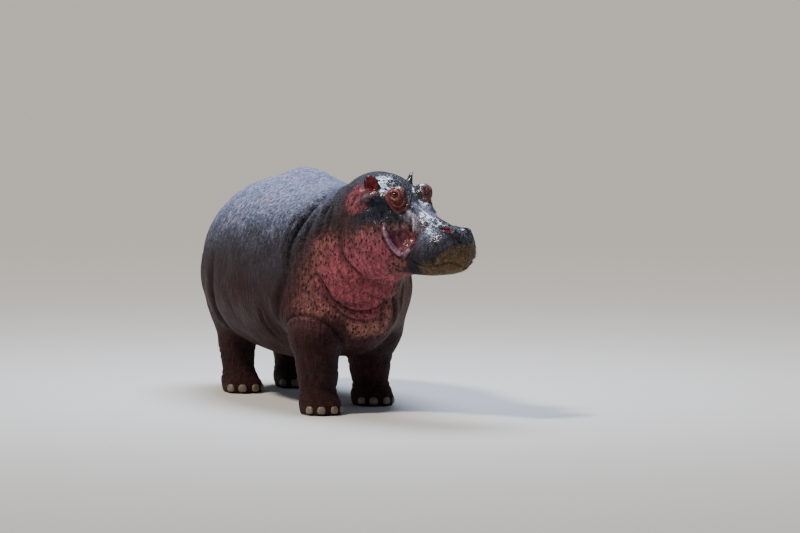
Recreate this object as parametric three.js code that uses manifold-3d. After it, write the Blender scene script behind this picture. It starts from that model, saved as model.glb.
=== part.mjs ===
// A standing hippopotamus, life size, as a still museum-type model in separate named solids.
// Millimetres, +Z up. The animal faces -Y, and +X is its left side. The head is turned to its left.
// The whole body is one field of flesh: a smooth union of named masses, negative inside. Each solid is a
// sleeve of rings round its own axis, cast outwards onto that field, so that neighbours meet without a step.
import * as THREE from "three";
import { mergeVertices } from "three/addons/utils/BufferGeometryUtils.js";
import Module from "manifold-3d";

const wasm = await Module();
wasm.setup();

// ---- Driving dimensions -------------------------------------------------------------------------
const BACK_HEIGHT = 1490; // highest point of the back, over the belly
const BELLY_HEIGHT = 275; // lowest point of the belly
const BARREL_HALF_WIDTH = 557;
const WIDEST_HEIGHT = 790; // the barrel is widest below its middle
const RUMP_REACH = 1180; // from the middle of the belly back to the end of the rump
const CHEST_REACH = 1020; // from the middle of the belly forward to the front of the chest
const GAP = 0.4; // clear space between neighbouring solids

const HEAD_TURN = THREE.MathUtils.degToRad(28); // to the animal's left
const POLL = new THREE.Vector3(85, -1190, 1467); // midway between the roots of the ears
const EYE = { forward: 192, side: 148, height: 1416, radius: 27 };
const NOSTRIL = { forward: 574, side: 84, height: 1222, length: 78, width: 42 };
const MUZZLE_END = 646; // from the poll to the front of the muzzle

const EAR = { leaf: [40, 22, 68], hollow: [31, 24, 52] }; // half its width, thickness and height
const FORE = { side: 262, foot: [-905, -450], elbow: 500 }; // foot: right, left
const HIND = { side: 218, foot: [640, 850], hock: 300 };
const TAIL = { height: 1060, length: 420, width: 72, clear: 92 }; // clear: how far it stands off the rump

// ---- The field of flesh -------------------------------------------------------------------------

// An egg: an ellipsoid with its own reach to the side, front, back, top and bottom. Over 2, full squares its plan
// and tall squares its height.
function egg([cx, cy, cz], { side, front, back, up, down, full = 2, tall = full, blend = 90 }) {
  const field = (x, y, z) => {
    const rx = side;
    const ry = y < cy ? front : back;
    const rz = z > cz ? up : down;
    const ax = Math.abs(x - cx) / rx;
    const ay = Math.abs(y - cy) / ry;
    const az = Math.abs(z - cz) / rz;
    const plan = Math.max((ax ** full + ay ** full) ** (1 / full), 1e-6);
    const level = (plan ** tall + az ** tall) ** (1 / tall);
    if (level < 0.05) return -Math.min(rx, ry, rz) * 0.9;
    const outwards = (plan / level) ** (tall - 1);
    const slope = Math.hypot(
      (outwards * (ax / plan) ** (full - 1)) / rx,
      (outwards * (ay / plan) ** (full - 1)) / ry,
      (az / level) ** (tall - 1) / rz,
    );
    return (level - 1) / slope;
  };
  return { field, blend };
}

// A limb segment: a rod whose radius runs evenly from one end to the other, flattened sideways by oval.
function limb([ax, ay, az], startRadius, [bx, by, bz], endRadius, { oval = 1, blend = 70 } = {}) {
  const dx = (bx - ax) / oval;
  const dy = by - ay;
  const dz = bz - az;
  const lengthSquared = dx * dx + dy * dy + dz * dz;
  const field = (x, y, z) => {
    const px = (x - ax) / oval;
    const py = y - ay;
    const pz = z - az;
    const along = Math.min(1, Math.max(0, (px * dx + py * dy + pz * dz) / lengthSquared));
    const radius = startRadius + along * (endRadius - startRadius);
    return (Math.hypot(px - along * dx, py - along * dy, pz - along * dz) - radius) * Math.min(1, oval);
  };
  return { field, blend };
}

const smoothUnion = (a, b, blend) => {
  const near = Math.max(blend - Math.abs(a - b), 0) / blend;
  return Math.min(a, b) - near * near * blend * 0.25;
};

const union = (masses) => (x, y, z) =>
  masses.reduce((depth, mass) => smoothUnion(depth, mass.field(x, y, z), mass.blend), 1e6);

const toHead = (x, y, z) => {
  const px = x - POLL.x;
  const py = y - POLL.y;
  const c = Math.cos(HEAD_TURN);
  const s = Math.sin(HEAD_TURN);
  return [px * c + py * s, -px * s + py * c, z];
};
const fromHead = (x, y, z) => {
  const c = Math.cos(HEAD_TURN);
  const s = Math.sin(HEAD_TURN);
  return new THREE.Vector3(POLL.x + x * c - y * s, POLL.y + x * s + y * c, z);
};
const inHead = (masses) =>
  masses.map(({ field, blend }) => ({ blend, field: (x, y, z) => field(...toHead(x, y, z)) }));

const torso = [
  egg([0, 40, WIDEST_HEIGHT], {
    side: BARREL_HALF_WIDTH - 18, front: CHEST_REACH + 50, back: RUMP_REACH - 50,
    up: BACK_HEIGHT - WIDEST_HEIGHT - 55, down: WIDEST_HEIGHT - BELLY_HEIGHT, full: 2.12,
  }),
  // Spine, rump, shoulders and chest.
  egg([0, -30, 1300], { side: 120, front: 450, back: 400, up: BACK_HEIGHT - 1312, down: 150 }),
  egg([0, 640, 820], { side: 295, front: 480, back: RUMP_REACH - 645, up: 478, down: 420, full: 2.5, tall: 2.8 }),
  egg([0, -560, 930], { side: 320, front: 400, back: 560, up: 410, down: 480, full: 2.1, blend: 140 }),
  egg([0, -740, 700], {
    side: 270, front: CHEST_REACH - 760, back: 420, up: 420, down: 340, full: 2.2, blend: 130,
  }),
];
const neck = [
  limb([0, -600, 990], 365, [60, -1070, 1240], 285, { oval: 0.9, blend: 150 }),
  egg([38, -960, 985], { side: 228, front: 240, back: 300, up: 250, down: 230, blend: 120 }), // throat
];
const head = inHead([
  // Skull, bridge of the nose, muzzle and lower jaw.
  egg([0, 20, 1290], { side: 182, front: 200, back: 220, up: 225, down: 240, full: 2.3, blend: 100 }),
  limb([0, -140, 1272], 112, [0, -540, 1122], 88, { oval: 1.08 }),
  egg([0, -470, 1090], {
    side: 172, front: MUZZLE_END - 470, back: 140, up: 118, down: 85, full: 2.6, tall: 3.6, blend: 44,
  }),
  egg([0, -320, 1008], {
    side: 158, front: MUZZLE_END - 342, back: 330, up: 120, down: 95, full: 2.8, tall: 3, blend: 44,
  }),
  // On each side: lip, cheek, the arch from ear to eye, the ridge below the eye, eye mound, nostril and ear root.
  ...[-1, 1].flatMap((s) => [
    egg([s * 108, -485, 1062], { side: 85, front: 118, back: 120, up: 108, down: 92, full: 2.4, tall: 2.8, blend: 40 }),
    egg([s * 122, -45, 1115], { side: 112, front: 190, back: 220, up: 170, down: 230 }),
    limb([s * 150, -10, 1385], 34, [s * 128, -130, 1392], 32, { blend: 60 }),
    limb([s * 104, -200, 1370], 42, [s * 84, -262, 1320], 34, { blend: 45 }),
    egg([s * 117, -EYE.forward + 2, EYE.height - 2], { side: 50, front: 54, back: 60, up: 56, down: 72, blend: 30 }),
    egg([s * NOSTRIL.side, -NOSTRIL.forward + 18, NOSTRIL.height - 45], {
      side: 45, front: 46, back: 80, up: 38, down: 60, blend: 36,
    }),
    egg([s * 150, 12, 1425], { side: 42, front: 46, back: 55, up: 42, down: 70, blend: 50 }),
  ]),
]);

// A foot stands on four toes, fanned out in front of the sole.
const TOES = [-60, -21, 21, 60].map(THREE.MathUtils.degToRad);
const toeOf = ([x, y], angle) => [x + 78 * Math.sin(angle), y - 36 - 72 * Math.cos(angle), 44];
const foot = ([x, y], side) => [
  egg([x, y, 50], { side, front: 118, back: 122, up: 92, down: 120, full: 2.3, blend: 60 }),
  ...TOES.map((angle) =>
    egg(toeOf([x, y], angle), { side: 44, front: 48, back: 60, up: 46, down: 80, full: 2.4, blend: 26 }),
  ),
];

// A leg has its upper masses, which shape the trunk, and its lower ones, which are the leg's own.
function foreleg(s, footY) {
  const x = s * FORE.side;
  const wristY = footY + 45;
  const elbowY = -640 + (footY + 640) * 0.75;
  return {
    upper: [
      egg([s * 280, -560, 880], { side: 108, front: 250, back: 290, up: 360, down: 330, blend: 120 }),
    ],
    lower: [
      limb([s * 270, -600, 720], 156, [s * 268, elbowY, FORE.elbow], 158, { blend: 110 }),
      limb([s * 270, elbowY, FORE.elbow - 20], 156, [x, wristY, 270], 122, { blend: 60 }),
      limb([x, wristY, 270], 120, [x, footY + 30, 110], 112, { blend: 60 }),
      ...foot([x, footY], 124),
    ],
    axis: [[x, footY + 5, 0], [x, footY + 30, 110], [x, wristY, 270], [s * 270, elbowY, FORE.elbow]],
    cover: { at: [s * 284, elbowY + 5, 320], side: 208, front: 238, back: 238, up: 440, down: 470, full: 2.5 },
  };
}
function hindleg(s, footY) {
  const x = s * HIND.side;
  const hockY = footY + 75;
  return {
    upper: [
      egg([s * 215, 690, 720], { side: 165, front: 310, back: 330, up: 380, down: 320, blend: 130 }),
    ],
    lower: [
      limb([s * 205, 750, 540], 158, [x, hockY, HIND.hock], 106, { blend: 90 }),
      limb([x, hockY, HIND.hock], 104, [x, footY + 45, 110], 104, { blend: 60 }),
      ...foot([x, footY], 114),
    ],
    axis: [[x, footY + 5, 0], [x, footY + 40, 110], [x, hockY, HIND.hock], [s * 205, 750, 540]],
    cover: { at: [s * 224, (750 + hockY) / 2, 300], side: 186, front: 235, back: 235, up: 425, down: 450, full: 2.5 },
  };
}
const legs = {
  foreleg_right: foreleg(-1, FORE.foot[0]),
  foreleg_left: foreleg(1, FORE.foot[1]),
  hindleg_right: hindleg(-1, HIND.foot[0]),
  hindleg_left: hindleg(1, HIND.foot[1]),
};
const uppers = Object.values(legs).flatMap((leg) => leg.upper);
const lowers = Object.values(legs).flatMap((leg) => leg.lower);
const body = union([...torso, ...neck, ...head, ...uppers]);
const flesh = union([...torso, ...neck, ...head, ...uppers, ...lowers]);

// ---- Solids -------------------------------------------------------------------------------------

const V = (x, y, z) => new THREE.Vector3(x, y, z);

// How far a ray runs from a point inside a field before it comes out.
function reach(field, from, way) {
  const at = (r) => field(from.x + way.x * r, from.y + way.y * r, from.z + way.z * r);
  let inside = 0;
  let outside = 0;
  for (;;) {
    const depth = at(outside);
    if (depth > 0) break;
    inside = outside;
    outside += Math.max(-depth * 0.6, 5);
  }
  for (let i = 0; i < 22; i++) {
    const middle = (inside + outside) / 2;
    if (at(middle) > 0) outside = middle;
    else inside = middle;
  }
  return inside;
}

// A closed solid over rings of points that all have the same count. A ring of one point is a tip.
function loft(rings) {
  const vertices = rings.flat();
  const starts = [];
  rings.reduce((start, ring) => (starts.push(start), start + ring.length), 0);
  const faces = [];
  rings.slice(1).forEach((ring, i) => {
    const count = Math.max(ring.length, rings[i].length);
    for (let j = 0; j < count; j++) {
      const k = (j + 1) % count;
      const [a, b] = rings[i].length > 1 ? [starts[i] + j, starts[i] + k] : [starts[i], starts[i]];
      const [c, d] = ring.length > 1 ? [starts[i + 1] + j, starts[i + 1] + k] : [starts[i + 1], starts[i + 1]];
      if (a !== b) faces.push(a, b, d);
      if (c !== d) faces.push(a, d, c);
    }
  });
  for (const [ring, start, last] of [[rings[0], 0, false], [rings.at(-1), starts.at(-1), true]]) {
    if (ring.length === 1) continue;
    const middle = vertices.length;
    vertices.push(ring.reduce((sum, point) => sum.add(point), V(0, 0, 0)).divideScalar(ring.length));
    ring.forEach((_, j) => {
      const k = (j + 1) % ring.length;
      faces.push(...(last ? [middle, start + j, start + k] : [middle, start + k, start + j]));
    });
  }
  const solid = new wasm.Manifold(
    new wasm.Mesh({
      numProp: 3,
      vertProperties: new Float32Array(vertices.flatMap((v) => [v.x, v.y, v.z])),
      triVerts: new Uint32Array(faces),
    }),
  );
  if (solid.volume() < 0) throw new Error("a loft is inside out");
  return solid;
}

// A sleeve: rays cast outwards onto a field, in planes along an axis. Each station has the point on the axis
// (at), the way along it (along) and the zero of the angles (zero). A rounded end turns its rays over to the pole.
function sleeve(field, stations, { rays, domes = [0, 0], angle = (t) => t * 2 * Math.PI }) {
  const cast = ({ at, along, zero }, tilt) => {
    const side = V(0, 0, 0).crossVectors(along, zero).normalize();
    const up = V(0, 0, 0).crossVectors(side, along);
    return Array.from({ length: rays }, (_, i) => {
      const turn = angle(i / rays);
      const way = V(0, 0, 0)
        .addScaledVector(up, Math.cos(turn) * Math.cos(tilt))
        .addScaledVector(side, Math.sin(turn) * Math.cos(tilt))
        .addScaledVector(along, Math.sin(tilt));
      return at.clone().addScaledVector(way, reach(field, at, way));
    });
  };
  const dome = (station, rows, sign) => {
    const endwards = station.along.clone().multiplyScalar(sign);
    const tip = station.at.clone().addScaledVector(endwards, reach(field, station.at, endwards));
    return [
      ...Array.from({ length: rows }, (_, i) => cast(station, (sign * (i + 1) * Math.PI) / 2 / (rows + 1))),
      [tip],
    ];
  };
  const rings = stations.map((station) => cast(station, 0));
  const [before, after] = domes;
  return loft([
    ...(before ? dome(stations[0], before, -1).reverse() : []),
    ...rings,
    ...(after ? dome(stations.at(-1), after, 1) : []),
  ]);
}

// A closed egg as a solid: its reach along three directions of its own, and how square it is.
function eggSolid(at, [a, b, c], { rays = 14, rows = 6, full = 2, grow = 0 }) {
  const power = (t) => Math.sign(t) * Math.abs(t) ** (2 / full);
  const long = [a, b, c].map((way) => way.clone().setLength(way.length() + grow));
  if (a.clone().cross(b).dot(c) < 0) long[0].negate(); // keeps the faces pointing out
  const row = (lift) =>
    Array.from({ length: rays }, (_, i) => {
      const turn = ((i + 0.5) * 2 * Math.PI) / rays;
      return at.clone()
        .addScaledVector(long[0], power(Math.cos(lift)) * power(Math.cos(turn)))
        .addScaledVector(long[1], power(Math.cos(lift)) * power(Math.sin(turn)))
        .addScaledVector(long[2], power(Math.sin(lift)));
    });
  const lifts = Array.from({ length: rows }, (_, i) => (((i + 1) / (rows + 1)) - 0.5) * Math.PI);
  return loft([[at.clone().sub(long[2])], ...lifts.map(row), [at.clone().add(long[2])]]);
}

// ---- Trunk, neck and head -----------------------------------------------------------------------

const nodes = {};
const UP = V(0, 0, 1);
const forward = fromHead(0, -1, 0).sub(fromHead(0, 0, 0)).setZ(0).normalize();
const between = (from, to, count, start = 0) =>
  Array.from({ length: count }, (_, i) => from + ((to - from) * (i + start)) / (count - 1 + start));

// The cut behind the neck leans from the withers down to the chest, and the one behind the head from the poll to
// the throat.
const neckCut = { at: V(0, -750, 1090), along: V(0, -0.915, 0.404).normalize() };
const headCut = { at: fromHead(0, 5, 1190), along: forward.clone().setZ(0.3).normalize() };
const station = (at, along) => ({ at, along, zero: UP });
const shifted = ({ at, along }, by) => station(at.clone().addScaledVector(along, by), along);

// The trunk keeps the fillets of the legs, but not the legs.
const trunkField = (x, y, z) => Math.max(flesh(x, y, z), body(x, y, z) - 120);
nodes.trunk = sleeve(
  trunkField,
  [
    ...[760, 620, 480, 340, 200, 60, -80, -200].map((y) => station(V(0, y, 790), V(0, -1, 0))),
    ...[0.1, 0.28, 0.46, 0.64, 0.82].map((t) =>
      station(
        V(0, -300, 820).lerp(neckCut.at, t),
        V(0, -1, 0).lerp(neckCut.along, t).normalize(),
      ),
    ),
    shifted(neckCut, -GAP / 2),
  ],
  { rays: 30, domes: [4, 0] },
);
nodes.neck = sleeve(
  body,
  between(0, 1, 6).map((t) => {
    const along = neckCut.along.clone().lerp(headCut.along, t).normalize();
    const at = neckCut.at.clone().lerp(headCut.at, t);
    return station(at.addScaledVector(along, t === 0 ? GAP / 2 : t === 1 ? -GAP / 2 : 0), along);
  }),
  { rays: 30 },
);
// The head's axis: how far forward of the poll each ring is, and how high. It sinks from the skull to the muzzle.
const HEAD_AXIS = [
  [34, 1192], [68, 1195], [100, 1198], [128, 1200], [154, 1200], [180, 1200], [206, 1197],
  [234, 1190], [266, 1177], [300, 1159], [335, 1137], [370, 1117], [404, 1105], [440, 1097], [475, 1092],
];
const HEAD_LEVEL = 250; // from here on the rings stand upright
nodes.head = sleeve(
  body,
  [
    shifted(headCut, GAP / 2),
    ...HEAD_AXIS.map(([u, w]) =>
      station(fromHead(0, -u, w), forward.clone().setZ(0.3 * Math.max(0, 1 - u / HEAD_LEVEL)).normalize()),
    ),
  ],
  { rays: 36, domes: [0, 5], angle: (t) => 2 * Math.PI * t - 0.45 * Math.sin(2 * Math.PI * t) },
);

// ---- Legs ---------------------------------------------------------------------------------------

const NAIL = { out: 16, across: 27, tall: 25, height: 36 };
for (const [name, { axis, cover }] of Object.entries(legs)) {
  const [cx, cy, cz] = cover.at;
  const coverSolid = (grow) =>
    eggSolid(V(cx, cy, cz), [V(cover.side, 0, 0), V(0, cover.front, 0), V(0, 0, cover.up)], {
      rays: 18, rows: 8, full: cover.full, grow,
    });
  const footRoom = eggSolid(V(...axis[0]), [V(250, 0, 0), V(0, 300, 0), V(0, 0, 255)], {
    rays: 12, rows: 5, full: 5,
  });
  const spare = 60; // how far the leg is cast beyond its cover before it is cut
  const far = egg(cover.at, {
    side: cover.side + spare, front: cover.front + spare, back: cover.back + spare, up: cover.up + spare,
    down: cover.down, full: cover.full,
  }).field;
  const field = (x, y, z) => Math.max(flesh(x, y, z), far(x, y, z));
  const spine = (z) => {
    const k = Math.min(axis.length - 2, Math.max(0, axis.findIndex(([, , top]) => top >= z) - 1));
    const [a, b] = [axis[k], axis[k + 1]];
    const t = (z - a[2]) / (b[2] - a[2]);
    return V(a[0] + t * (b[0] - a[0]), a[1] + t * (b[1] - a[1]), z);
  };
  const leg = sleeve(
    field,
    [0, 22, 54, 92, 140, 205, 280, 355, 420, 480].map((z) => ({
      at: spine(z), along: V(0, 0, 1), zero: V(0, -1, 0),
    })),
    { rays: 18, domes: [0, 4], angle: (t) => 2 * Math.PI * t - 0.4 * Math.sin(2 * Math.PI * t) },
  );
  nodes[name] = leg.intersect(coverSolid(0).add(footRoom));
  nodes.trunk = nodes.trunk.subtract(coverSolid(GAP));
  nodes.neck = nodes.neck.subtract(coverSolid(GAP));

  // One nail on the front of each toe.
  TOES.forEach((angle, i) => {
    const out = V(Math.sin(angle), -Math.cos(angle), 0);
    const toe = V(...toeOf([axis[0][0], axis[0][1] - 5], angle)).setZ(NAIL.height);
    const surface = toe.clone().addScaledVector(out, reach(flesh, toe, out) - NAIL.out * 0.45);
    const across = V(-out.y, out.x, 0);
    const halves = [across.multiplyScalar(NAIL.across), out.clone().multiplyScalar(NAIL.out), V(0, 0, NAIL.tall)];
    const shape = (grow) => eggSolid(surface, halves, { rays: 8, rows: 3, full: 2.8, grow });
    nodes[name] = nodes[name].subtract(shape(GAP));
    nodes[`nail_${name}_${i + 1}`] = shape(0);
  });
}

// ---- Eyes, ears, nostrils and tail --------------------------------------------------------------

for (const [name, s] of [["right", -1], ["left", 1]]) {
  const eyeAt = fromHead(s * EYE.side, -EYE.forward, EYE.height);
  const globe = (grow) =>
    eggSolid(eyeAt, [V(EYE.radius, 0, 0), V(0, EYE.radius, 0), V(0, 0, EYE.radius)], { rays: 12, rows: 6, grow });
  nodes[`eye_${name}`] = globe(0);

  // The ear is a leaf, hollowed on the side that faces forwards and outwards.
  const face = fromHead(s * 0.7, -0.72, 0).sub(fromHead(0, 0, 0)).setZ(0).normalize();
  const rise = fromHead(s * 0.3, 0.06, 0).sub(fromHead(0, 0, 0)).setZ(1).normalize();
  const across = V(0, 0, 0).crossVectors(rise, face).normalize();
  const out = V(0, 0, 0).crossVectors(across, rise).normalize();
  const earAt = fromHead(s * 185, -28, 1470);
  const earWays = ([wide, deep, tall]) => [
    across.clone().setLength(wide), out.clone().setLength(deep), rise.clone().multiplyScalar(tall),
  ];
  const leaf = (grow) => eggSolid(earAt, earWays(EAR.leaf), { rays: 10, rows: 6, grow });
  const hollowAt = earAt.clone().addScaledVector(out, 17).addScaledVector(rise, 8);
  const hollow = eggSolid(hollowAt, earWays(EAR.hollow), { rays: 8, rows: 4 });
  nodes[`ear_${name}`] = leaf(0).subtract(hollow);

  const nostrilAt = fromHead(s * NOSTRIL.side, -NOSTRIL.forward, NOSTRIL.height - 80);
  nostrilAt.z += reach(body, nostrilAt, UP) - 4;
  const slit = eggSolid(
    nostrilAt,
    [
      fromHead(s * 0.3, -1, 0).sub(fromHead(0, 0, 0)).setZ(-0.3).setLength(NOSTRIL.length / 2),
      fromHead(s, 0.3, 0).sub(fromHead(0, 0, 0)).setZ(-0.2).setLength(NOSTRIL.width / 2),
      V(0, 0, 26),
    ],
    { rays: 10, rows: 3 },
  );
  nodes.head = nodes.head.subtract(globe(GAP)).subtract(leaf(GAP)).subtract(slit);
  nodes.neck = nodes.neck.subtract(leaf(GAP));
}

const tailRoot = V(0, 700 + reach(body, V(0, 700, TAIL.height), V(0, 1, 0)) - 28, TAIL.height);
const tail = (grow) =>
  loft(
    [0, 0.1, 0.2, 0.32, 0.45, 0.6, 0.75, 0.9, 1].map((t) => {
      const back = TAIL.clear * Math.sin(Math.min(1, 1.6 * t) * (Math.PI / 2));
      const at = tailRoot.clone().add(V(0, back, -TAIL.length * t ** 1.3));
      const droop = t === 0 ? V(0, 1, -0.35) : V(0, 0.5 * Math.max(0, 1 - 2 * t), -1);
      const wide = (TAIL.width / 2) * (1 - 0.62 * t) + grow;
      const deep = wide * (0.95 - 0.45 * t);
      const along = droop.normalize();
      const thick = V(0, 0, 0).crossVectors(along, V(1, 0, 0));
      at.addScaledVector(along, t === 1 ? grow : t === 0 ? -grow : 0);
      return Array.from({ length: 12 }, (_, i) => {
        const turn = (i * 2 * Math.PI) / 12;
        return at.clone().add(V(wide * Math.cos(turn), 0, 0)).addScaledVector(thick, deep * Math.sin(turn));
      });
    }),
  );
nodes.tail = tail(0);
nodes.trunk = nodes.trunk.subtract(tail(GAP));

// ---- Group --------------------------------------------------------------------------------------

// Dull horn, wet eyes, red inside the ears, and damp blue-grey to brown hide.
const finishes = {
  nail: { color: 0x6b5a52, roughness: 0.6 },
  eye: { color: 0x2a1b16, roughness: 0.1 },
  ear: { color: 0x7a3d3a, roughness: 0.5 },
  other: { color: 0x5d5458, roughness: 0.5 },
};
const group = new THREE.Group();
for (const [name, solid] of Object.entries(nodes)) {
  const { numProp, vertProperties, triVerts } = solid.getMesh();
  const positions = new Float32Array((vertProperties.length / numProp) * 3);
  for (let i = 0; i < positions.length / 3; i++) {
    positions.set(vertProperties.subarray(i * numProp, i * numProp + 3), i * 3);
  }
  const geometry = new THREE.BufferGeometry();
  geometry.setAttribute("position", new THREE.BufferAttribute(positions, 3));
  geometry.setIndex(new THREE.BufferAttribute(triVerts, 1));
  geometry.computeVertexNormals();
  const kind = ["nail", "eye", "ear"].find((word) => name.startsWith(word)) ?? "other";
  const finish = new THREE.MeshStandardMaterial({ ...finishes[kind], metalness: 0 });
  const mesh = new THREE.Mesh(geometry, finish);
  mesh.name = name;
  group.add(mesh);
}
const box = new THREE.Box3().setFromObject(group);
group.position.set(-(box.min.x + box.max.x) / 2, -(box.min.y + box.max.y) / 2, -box.min.z);
export default group;
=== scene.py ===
"""A standing hippopotamus, life size, as a still museum model: one wet skin over the whole body, glossy eyes
let into their lids, sixteen nails of worn horn, and sparse bristles on the lips, ears and tail.
Metres, +Z up. The animal faces -Y, +X is its left side, and its head is turned to its left."""
import math

import bmesh
import bpy
import numpy as np
import openvdb
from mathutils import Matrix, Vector, noise


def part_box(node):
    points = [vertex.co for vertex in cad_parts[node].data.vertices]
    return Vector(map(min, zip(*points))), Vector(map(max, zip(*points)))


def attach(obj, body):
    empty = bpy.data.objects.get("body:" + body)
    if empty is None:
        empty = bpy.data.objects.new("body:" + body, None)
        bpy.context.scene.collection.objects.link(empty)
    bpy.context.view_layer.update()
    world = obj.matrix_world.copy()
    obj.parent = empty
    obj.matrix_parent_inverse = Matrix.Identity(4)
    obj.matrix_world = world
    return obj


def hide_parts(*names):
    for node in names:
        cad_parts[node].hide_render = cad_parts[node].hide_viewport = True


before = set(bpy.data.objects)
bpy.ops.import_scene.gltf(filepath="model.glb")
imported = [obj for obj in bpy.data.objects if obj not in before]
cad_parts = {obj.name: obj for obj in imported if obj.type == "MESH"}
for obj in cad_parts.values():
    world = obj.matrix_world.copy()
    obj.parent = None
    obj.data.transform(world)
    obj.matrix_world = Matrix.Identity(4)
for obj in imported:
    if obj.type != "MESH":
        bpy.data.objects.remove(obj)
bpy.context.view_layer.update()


# ---- Room ---------------------------------------------------------------------------------------
# A pale matt studio floor that runs on behind the animal, a high soft key light with a broad cool sky above
# it, and a long lens at the height of a person on a bank.
def linear(colour):
    """An sRGB hex colour as linear red, green, blue and alpha."""
    parts = [int(colour[i:i + 2], 16) / 255 for i in (1, 3, 5)]
    return (*(v / 12.92 if v <= 0.04045 else ((v + 0.055) / 1.055) ** 2.4 for v in parts), 1.0)


def add(tree, kind, inputs=None, **settings):
    """Adds a node to a tree. An input is a value, a socket, or a node that stands for its first output."""
    made = tree.nodes.new(kind)
    for name, value in settings.items():
        setattr(made, name, value)
    for socket, value in (inputs or {}).items():
        if isinstance(value, bpy.types.Node):
            value = value.outputs[0]
        if isinstance(value, bpy.types.NodeSocket):
            tree.links.new(value, made.inputs[socket])
        else:
            made.inputs[socket].default_value = value
    return made


def new_material(name):
    """A material and its tree, which holds only the output."""
    material = bpy.data.materials.new(name)
    material.use_nodes = True
    material.node_tree.nodes.clear()
    material.node_tree.nodes.new("ShaderNodeOutputMaterial")
    return material, material.node_tree


def finish(tree, inputs):
    """Adds a material's shader and joins it to the output."""
    shader = add(tree, "ShaderNodeBsdfPrincipled", inputs)
    tree.links.new(shader.outputs[0], tree.nodes[0].inputs["Surface"])


def show(name, data):
    """Puts a mesh, light or lens into the scene."""
    thing = bpy.data.objects.new(name, data)
    bpy.context.scene.collection.objects.link(thing)
    return thing


def aim(thing, at, towards):
    thing.location = at
    thing.rotation_euler = (Vector(towards) - Vector(at)).to_track_quat("-Z", "Y").to_euler()


FLOOR_SIZE = 300.0
floor_mesh = bpy.data.meshes.new("studio_floor")
floor_mesh.from_pydata(
    [(x * FLOOR_SIZE / 2, y * FLOOR_SIZE / 2, 0) for x, y in ((-1, -1), (1, -1), (1, 1), (-1, 1))], [],
    [(0, 1, 2, 3)],
)
floor = show("studio_floor", floor_mesh)
matt_floor, tree = new_material("matt_studio_floor")
finish(tree, {"Base Color": linear("#c9c7c2"), "Roughness": 0.85})
floor_mesh.materials.append(matt_floor)

world = bpy.data.worlds.new("studio_air")
world.use_nodes = True
air = world.node_tree.nodes["Background"].inputs
air["Color"].default_value, air["Strength"].default_value = linear("#c6d3e6"), 0.32
bpy.context.scene.world = world

sky = bpy.data.lights.new("soft_sky", "AREA")
sky.energy, sky.size, sky.color = 620, 3.0, linear("#dbe7ff")[:3]
aim(show("soft_sky", sky), (0.4, 1.0, 5.6), (0.0, -0.2, 0.8))
key = bpy.data.lights.new("soft_key", "SUN")
key.energy, key.angle, key.color = 3.4, math.radians(8), linear("#fff3e2")[:3]
aim(show("soft_key", key), (-4.4, -1.4, 7.2), (0.1, -0.9, 0.9))

# The lens is long, so near and far parts keep one scale: PIXELS_PER_METRE in an 800 by 533 picture.
AZIMUTH, ELEVATION = math.radians(-21), math.radians(5)
PIXELS_PER_METRE, PICTURE_WIDTH, PICTURE_HEIGHT = 157.0, 800, 533
BODY_MIDDLE_PIXEL = (308.2, 399.6)  # where the floor under the middle of the barrel stands in the picture
EYE_MIDDLE = (sum(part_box("eye_left"), Vector()) + sum(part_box("eye_right"), Vector())) / 4
HEAD_TURN = math.radians(28)
POLL = np.array([0.085, -1.19, 1.467])  # midway between the roots of the ears, from the middle of the barrel
EYE_FORWARD, EYE_SIDE, EYE_HEIGHT, EYE_RADIUS = 0.192, 0.148, 1.416, 0.027
# The middle of the barrel, in the frame.
MIDDLE = np.array([0, EYE_MIDDLE.y - POLL[1] + EYE_FORWARD * math.cos(HEAD_TURN), 0])

back_way = Vector((math.sin(AZIMUTH) * math.cos(ELEVATION), -math.cos(AZIMUTH) * math.cos(ELEVATION),
                   math.sin(ELEVATION)))
right_way = Vector((math.cos(AZIMUTH), math.sin(AZIMUTH), 0))
up_way = back_way.cross(right_way)
lens = bpy.data.cameras.new("long_lens")
lens.sensor_width, lens.lens, lens.clip_end = 36, 600, 1000
distance = PICTURE_WIDTH * lens.lens / lens.sensor_width / PIXELS_PER_METRE
aim_point = (
    Vector(MIDDLE)
    + right_way * (PICTURE_WIDTH / 2 - BODY_MIDDLE_PIXEL[0]) / PIXELS_PER_METRE
    + up_way * (BODY_MIDDLE_PIXEL[1] - PICTURE_HEIGHT / 2) / PIXELS_PER_METRE
)
camera = show("long_lens", lens)
aim(camera, aim_point + back_way * distance, aim_point)
bpy.context.scene.camera = camera


# ---- Flesh --------------------------------------------------------------------------------------
# The body as a field of flesh, negative inside: a smooth union of eggs and tapered limbs, each a mass of
# muscle, fat or bone, measured from the floor under the middle of the barrel. The solids are cut from it too.
SPARE = 0.22  # beyond this distance a mass no longer touches its neighbours


def length(rows):
    return np.linalg.norm(rows, axis=1)


def egg(at, side, front, back, up, down, full=2.0, tall=None, blend=0.09):
    """An ellipsoid with its own reach each way. Over 2, full squares its plan and tall its height."""
    tall = tall or full

    def field(p):
        x, y, z = (p - at).T
        reach_y = np.where(y < 0, front, back)
        reach_z = np.where(z > 0, up, down)
        ax, ay, az = np.abs(x) / side, np.abs(y) / reach_y, np.abs(z) / reach_z
        plan = np.maximum((ax**full + ay**full) ** (1 / full), 1e-6)
        level = np.maximum((plan**tall + az**tall) ** (1 / tall), 1e-3)
        outwards = (plan / level) ** (tall - 1)
        slope = np.sqrt(
            (outwards * (ax / plan) ** (full - 1) / side) ** 2
            + (outwards * (ay / plan) ** (full - 1) / reach_y) ** 2
            + ((az / level) ** (tall - 1) / reach_z) ** 2
        )
        return np.where(level < 0.05, -0.9 * min(side, front, back, up, down), (level - 1) / slope)

    low = np.array([at[0] - side, at[1] - front, at[2] - down])
    high = np.array([at[0] + side, at[1] + back, at[2] + up])
    return field, blend, low, high


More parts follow.
